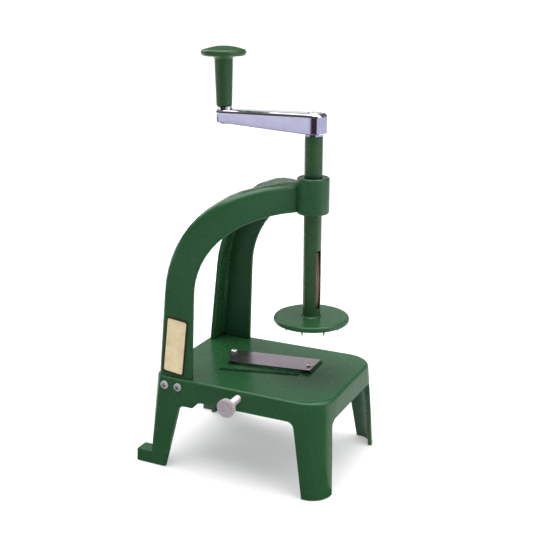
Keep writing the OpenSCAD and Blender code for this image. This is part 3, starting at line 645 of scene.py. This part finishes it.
@dataclass
class ClampScrew:
    """The knurled screw, its insert and the shoe that it pushes."""

    bench: Bench
    finishes: Finishes
    head_radius: float = 7.2 * MM
    head_length: float = 4.0 * MM
    neck_radius: float = 4.5 * MM
    neck_length: float = 1.5 * MM
    shank_radius: float = 3.0 * MM
    tip_radius: float = 2.0 * MM
    tip_length: float = 2.4 * MM
    pitch: float = 1.0 * MM
    thread_depth: float = 0.3 * MM
    thread_steps: int = 5
    ridges: int = 40
    ridge_depth: float = 0.35 * MM
    dish: tuple[tuple[float, float], ...] = ((0.45 * MM, 0.35), (0.25 * MM, 0.6), (0.0, 0.72))
    chamfer: float = 0.6 * MM
    ridge_run_out: float = 0.7
    tip_chamfer: float = 0.4 * MM
    around: int = 160

    def build(self) -> None:
        """Dresses the fixed pieces and replaces the plain screw by one with knurl and thread."""
        self.bench.dress("thumb_insert", self.finishes.brass)
        self.bench.dress("clamp_shoe", self.finishes.zinc, Edge.STAMPED)
        piece = self.bench.add("thumb_screw_knurled", self.screw_mesh(), self.finishes.knurled, "thumb")
        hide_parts("thumb_screw")

    def stations(self, length: float) -> list[tuple[float, float, float, float]]:
        """Rings along the screw from the head's face to the tip.

        Args:
            length: whole length of the screw.

        Returns:
            For each ring its place along the axis, radius, knurl depth and thread depth.
        """
        rim = self.head_radius
        back = self.head_length
        run_out = self.chamfer * self.ridge_run_out
        rings = [(y, share * rim, 0.0, 0.0) for y, share in self.dish]
        rings.append((0.0, rim - self.chamfer, 0.0, 0.0))
        rings += [(run_out, rim, 0.0, 0.0), (self.chamfer, rim, self.ridge_depth, 0.0)]
        rings += [(back - self.chamfer, rim, self.ridge_depth, 0.0), (back - run_out, rim, 0.0, 0.0)]
        rings += [(back, rim - self.chamfer, 0.0, 0.0), (back, self.neck_radius, 0.0, 0.0)]
        start = back + self.neck_length
        end = length - self.tip_length
        step = self.pitch / self.thread_steps
        rings.append((start, self.shank_radius, 0.0, 0.0))
        for k in range(int((end - start - self.pitch) / step) + 1):
            rings.append((start + self.pitch / 2 + k * step, self.shank_radius, 0.0, self.thread_depth))
        rings += [(end, self.shank_radius - self.thread_depth, 0.0, 0.0), (end, self.tip_radius, 0.0, 0.0)]
        rings.append((length - self.tip_chamfer, self.tip_radius, 0.0, 0.0))
        rings.append((length, self.tip_radius - self.tip_chamfer, 0.0, 0.0))
        return rings

    def screw_mesh(self) -> bmesh.types.BMesh:
        """The whole screw as one turned skin, from the dished head to the tip.

        Returns:
            A closed mesh.
        """
        low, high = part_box("thumb_screw")
        axis = Vector(((low.x + high.x) / 2, low.y, (low.z + high.z) / 2))
        mesh = bmesh.new()
        rings = []
        for y, radius, knurl, thread in self.stations(high.y - low.y):
            ring = []
            for k in range(self.around):
                share = k / self.around
                ridge = 0.5 + 0.5 * math.cos(2 * math.pi * self.ridges * share)
                wave = abs(2 * ((y / self.pitch - share) % 1.0) - 1)
                r = radius - knurl * (1 - ridge) - thread * wave
                angle = 2 * math.pi * share
                ring.append(mesh.verts.new(axis + Vector((r * math.cos(angle), y, -r * math.sin(angle)))))
            rings.append(ring)
        for first, second in zip(rings, rings[1:]):
            skin(mesh, first, second)
        mesh.faces.new(rings[0])
        mesh.faces.new(reversed(rings[-1]))
        return mesh


@dataclass
class TurningShaft:
    """The shaft with its bush, spring and spiked disc."""

    bench: Bench
    finishes: Finishes

    def build(self) -> None:
        """Dresses the shaft's pieces."""
        self.bench.dress("shaft", self.finishes.turned, Edge.STAMPED)
        self.bench.dress("shaft_bush", self.finishes.bush)
        self.bench.dress("friction_spring", self.finishes.bronze)
        self.bench.dress("food_disc", self.finishes.green)
        self.bench.dress("disc_screw", self.finishes.zinc, Edge.TURNED)


@dataclass
class CrankHandle:
    """The plated crank, its screw, and the grip that turns on its pin."""

    bench: Bench
    finishes: Finishes

    def build(self) -> None:
        """Dresses the crank and the grip."""
        self.bench.dress("crank_arm", self.finishes.chrome, Edge.MOULDED)
        self.bench.dress("crank_screw", self.finishes.zinc, Edge.TURNED)
        self.bench.dress("crank_washer", self.finishes.zinc)
        self.bench.dress("grip_pin", self.finishes.zinc)
        self.bench.dress("hand_grip", self.finishes.turned)
        self.bench.dress("grip_plug", self.finishes.turned)


@dataclass(frozen=True)
class Card:
    """A card that only gloss sees, placed round the machine's axis.

    Its angles are in degrees round from the front towards the right. An upright card has its lower
    and upper edges as limits, and a card on the floor its inner and outer edges, in metres.
    """

    name: str
    angles: tuple[float, float]
    limits: tuple[float, float]
    glow: Colour


@dataclass(frozen=True)
class Softbox:
    """A soft light that faces the machine: place and size in metres, power in watts."""

    name: str
    place: tuple[float, float, float]
    width: float
    height: float
    power: float


@dataclass
class Studio:
    """Floor, soft light and a camera at the photograph's angle."""

    image_pixels: float = 533.0
    focal_pixels: float = 951.2
    azimuth: float = math.radians(25.66)
    elevation: float = math.radians(16.35)
    distance: float = 762.2 * MM
    target_height: float = 161.9 * MM
    target_back: float = 39.6 * MM
    floor_size: float = 90.0
    backdrop_reach: float = 12.0
    sensor: float = 36.0
    clip: tuple[float, float] = (0.01, 200.0)
    floor_drop: float = 0.5 * MM
    floor_clouds: float = 3.0
    floor_tone: Colour = (0.7, 0.7, 0.7)
    floor_shade: Colour = (0.68, 0.68, 0.68)
    floor_glow: float = 0.33
    backdrop_sides: int = 8
    backdrop_glow: float = 1.05
    front_card_height: float = -0.25 * MM
    floor_card_height: float = -0.2 * MM
    front_card_box: tuple[float, float, float, float] = (-2.6, 0.9, -3.5, -0.03)
    front_card_reach: tuple[float, float] = (-0.15, -1.3)
    front_card_near: Colour = (0.05, 0.055, 0.05)
    front_card_far: Colour = (0.62, 0.62, 0.8)
    upright_away: float = 1.05
    uprights: tuple[Card, ...] = (
        Card("card_back", (170.0, 245.0), (0.325, 0.455), (0.88, 0.88, 0.9)),
        Card("card_dark_front", (-31.0, 4.0), (0.02, 0.27), (0.03, 0.02, 0.03)),
        Card("card_dark_right", (4.0, 44.0), (0.02, 0.27), (0.03, 0.02, 0.03)),
        Card("card_pale_side", (44.5, 90.0), (0.02, 0.3), (0.56, 0.55, 0.74)),
        Card("card_pale_right", (90.5, 168.0), (0.02, 0.3), (0.56, 0.55, 0.74)),
    )
    floor_card: Card = Card("card_low_right", (118.0, 178.0), (0.1, 0.5), (0.78, 0.78, 0.78))
    arc_steps: int = 8
    sky_low: float = 0.15
    sky_top: float = 4.6
    sky_top_heights: tuple[float, float] = (0.76, 0.95)
    behind_camera: float = 0.4
    behind_limits: tuple[float, float] = (-0.1, 0.4)
    aim_height: float = 0.15
    softboxes: tuple[Softbox, ...] = (
        Softbox("soft_right", (0.95, -0.05, 0.75), 0.9, 0.7, 4.5),
        Softbox("soft_back", (-0.9, 0.35, 1.0), 0.8, 0.8, 5.0),
    )

    def build(self) -> None:
        """Makes the camera, the floor, the backdrop, the cards, the sky and the lights."""
        bpy.context.scene.view_settings.view_transform = "Standard"
        self.camera()
        self.floor()
        self.backdrop()
        self.cards()
        self.sky()
        for box in self.softboxes:
            self.softbox(box)

    @staticmethod
    def around(angle: float, away: float) -> Vector:
        """A level vector of a given length, turned from the front towards the right, in radians."""
        return Vector((math.sin(angle) * away, -math.cos(angle) * away, 0.0))

    @staticmethod
    def disc_middle() -> Vector:
        """The middle of the food disc, on the shaft's axis."""
        low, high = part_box("food_disc")
        return (low + high) / 2

    def axes(self) -> tuple[Vector, Vector, Vector]:
        """The camera's right, up and backward directions.

        Returns:
            Three unit vectors.
        """
        level = math.cos(self.elevation)
        back = self.around(self.azimuth, level) + Vector((0.0, 0.0, math.sin(self.elevation)))
        right = Vector((math.cos(self.azimuth), math.sin(self.azimuth), 0.0))
        return right, back.cross(right), back

    def camera(self) -> None:
        """Sets the camera at the angle and distance of the photograph."""
        axis = self.disc_middle()
        right, up, back = self.axes()
        target = Vector((axis.x - self.target_back, axis.y, self.target_height))
        place = target + back * self.distance
        data = bpy.data.cameras.new("camera")
        data.sensor_fit = "HORIZONTAL"
        data.sensor_width = self.sensor
        data.lens = self.sensor * self.focal_pixels / self.image_pixels
        data.clip_start, data.clip_end = self.clip
        camera = bpy.data.objects.new("camera", data)
        turn = Matrix((right, up, back)).transposed()
        camera.matrix_world = Matrix.Translation(place) @ turn.to_4x4()
        bpy.context.scene.collection.objects.link(camera)
        bpy.context.scene.camera = camera

    def stage_sheet(self, name: str, corners: list[Vector], sheet: Sheet) -> bpy.types.Object:
        """Adds a flat piece of the stage.

        Args:
            name: the piece's name.
            corners: its corners in order, in metres.
            sheet: its finish.

        Returns:
            The piece.
        """
        mesh = bmesh.new()
        mesh.faces.new([mesh.verts.new(corner) for corner in corners])
        piece = linked(name, mesh, sheet.material)
        return piece

    def floor(self) -> None:
        """Lays a plain pale floor under the feet."""
        half = self.floor_size / 2
        sheet = Sheet("floor_pale")
        cloud = sheet.spread(sheet.noise(self.floor_clouds), 0.0, 1.0)
        sheet.link(sheet.blend(cloud, self.floor_tone, self.floor_shade), sheet.shader.inputs["Base Color"])
        sheet.set(Roughness=0.9, Specular_IOR_Level=0.1, Emission_Strength=self.floor_glow)
        self.stage_sheet("floor", self.level_corners((-half, half, -half, half), -self.floor_drop), sheet)

    @staticmethod
    def level_corners(box: tuple[float, float, float, float], height: float) -> list[Vector]:
        """Corners of a level rectangle.

        Args:
            box: its low and high X, then its low and high Y.
            height: its height.

        Returns:
            The corners in order.
        """
        left, right, near, far = box
        return [Vector((x, y, height)) for x, y in ((left, near), (right, near), (right, far), (left, far))]

    def backdrop(self) -> None:
        """Hangs a white backdrop round the machine, far off, which only the camera sees."""
        sheet = Sheet("backdrop_white")
        sheet.set(Base_Color=(0.0, 0.0, 0.0, 1.0), Specular_IOR_Level=0.0, Emission_Strength=self.backdrop_glow)
        reach = self.backdrop_reach
        top = Vector((0.0, 0.0, reach))
        turn = 2 * math.pi / self.backdrop_sides
        for k in range(self.backdrop_sides):
            left, right = (Vector((math.cos(a), math.sin(a), 0.0)) * reach for a in (k * turn, (k + 1) * turn))
            piece = self.stage_sheet(f"backdrop_{k}", [left, right, right + top, left + top], sheet)
            piece.visible_diffuse = False
            piece.visible_glossy = False
            piece.visible_shadow = False

    def cards(self) -> None:
        """Sets up the studio's cards: two on the floor, the others upright round the machine."""
        front = self.level_corners(self.front_card_box, self.front_card_height)
        self.card("card_front", front, self.front_card_near, self.front_card_far, self.front_card_reach)
        for card in self.uprights:
            self.upright(card)
        self.sector(self.floor_card)

    def sector(self, card: Card) -> None:
        """Lays a card on the floor, in a sector round the shaft's axis.

        Args:
            card: the card.
        """
        middle = self.disc_middle()
        axis = Vector((middle.x, middle.y, self.floor_card_height))
        first, last = card.angles
        turns = [math.radians(first + (last - first) * k / self.arc_steps) for k in range(self.arc_steps + 1)]
        inner, outer = card.limits
        ring = [(inner, a) for a in turns] + [(outer, a) for a in reversed(turns)]
        self.card(card.name, [axis + self.around(a, r) for r, a in ring], card.glow, card.glow)

    def upright(self, card: Card) -> None:
        """Stands a card on the floor, square to the machine.

        Args:
            card: the card.
        """
        left, right = (self.around(math.radians(a), self.upright_away) for a in card.angles)
        low, high = (Vector((0.0, 0.0, height)) for height in card.limits)
        self.card(card.name, [left + low, right + low, right + high, left + high], card.glow, card.glow)

    def card(self, name: str, corners: list[Vector], near: Colour, far: Colour,
             reach: tuple[float, float] = (0.0, 1.0)) -> None:
        """Adds a card that only gloss sees.

        Args:
            name: the card's name.
            corners: its corners in order, in metres.
            near: its colour where reach starts.
            far: its colour where reach ends.
            reach: start and end along Y, in metres.
        """
        sheet = Sheet(name)
        sheet.set(Base_Color=(0.0, 0.0, 0.0, 1.0), Specular_IOR_Level=0.0, Emission_Strength=1.0)
        sheet.link(sheet.blend(sheet.along_y(*reach), near, far), sheet.shader.inputs["Emission Color"])
        piece = self.stage_sheet(name, corners, sheet)
        piece.visible_camera = False
        piece.visible_diffuse = False
        piece.visible_shadow = False

    def sky(self) -> None:
        """A room that is bright overhead and dim near the floor, most of all behind the camera."""
        world = bpy.data.worlds.new("room")
        bpy.context.scene.world = world
        world.use_nodes = True
        nodes = world.node_tree.nodes
        links = world.node_tree.links
        background = next(n for n in nodes if n.type == "BACKGROUND")
        background.inputs["Color"].default_value = (1.0, 1.0, 1.0, 1.0)
        direction = nodes.new("ShaderNodeTexCoord").outputs["Generated"]
        _, _, back = self.axes()
        dot = nodes.new("ShaderNodeVectorMath")
        dot.operation = "DOT_PRODUCT"
        links.new(direction, dot.inputs[0])
        dot.inputs[1].default_value = (back.x, back.y, 0.0)
        split = nodes.new("ShaderNodeSeparateXYZ")
        links.new(direction, split.inputs[0])
        dim = self.sky_low * self.behind_camera
        low = self.ramp(world, dot.outputs["Value"], self.behind_limits, (self.sky_low, dim))
        high = self.ramp(world, split.outputs["Z"], self.sky_top_heights, (0.0, self.sky_top))
        both = nodes.new("ShaderNodeMath")
        links.new(low, both.inputs[0])
        links.new(high, both.inputs[1])
        links.new(both.outputs["Value"], background.inputs["Strength"])

    def ramp(self, world: bpy.types.World, value: bpy.types.NodeSocket, start: tuple[float, float],
             result: tuple[float, float]) -> bpy.types.NodeSocket:
        """Eases a value from one range to another in the room's node tree.

        Args:
            world: the room.
            value: the value.
            start: its low and high end.
            result: what each end gives.

        Returns:
            The eased value.
        """
        node = world.node_tree.nodes.new("ShaderNodeMapRange")
        node.interpolation_type = "SMOOTHSTEP"
        node.inputs["From Min"].default_value, node.inputs["From Max"].default_value = start
        node.inputs["To Min"].default_value, node.inputs["To Max"].default_value = result
        world.node_tree.links.new(value, node.inputs["Value"])
        return node.outputs["Result"]

    def softbox(self, box: Softbox) -> None:
        """Hangs a soft light that faces the machine.

        Args:
            box: the light's values.
        """
        data = bpy.data.lights.new(box.name, "AREA")
        data.shape = "RECTANGLE"
        data.size = box.width
        data.size_y = box.height
        data.energy = box.power
        light = bpy.data.objects.new(box.name, data)
        light.location = box.place
        aim = Vector((0.0, 0.0, self.aim_height)) - Vector(box.place)
        light.rotation_euler = aim.to_track_quat("-Z", "Y").to_euler()
        bpy.context.scene.collection.objects.link(light)


def main() -> None:
    """Builds the studio and every sub-assembly."""
    logging.basicConfig(level=logging.INFO, format="%(name)s: %(message)s")
    finishes = Finishes.made()
    bench = Bench()
    Studio().build()
    for part in (TableBase, ArchFrame, BladeSet, ClampScrew, TurningShaft, CrankHandle):
        part(bench, finishes).build()


if __name__ == "__main__":
    main()
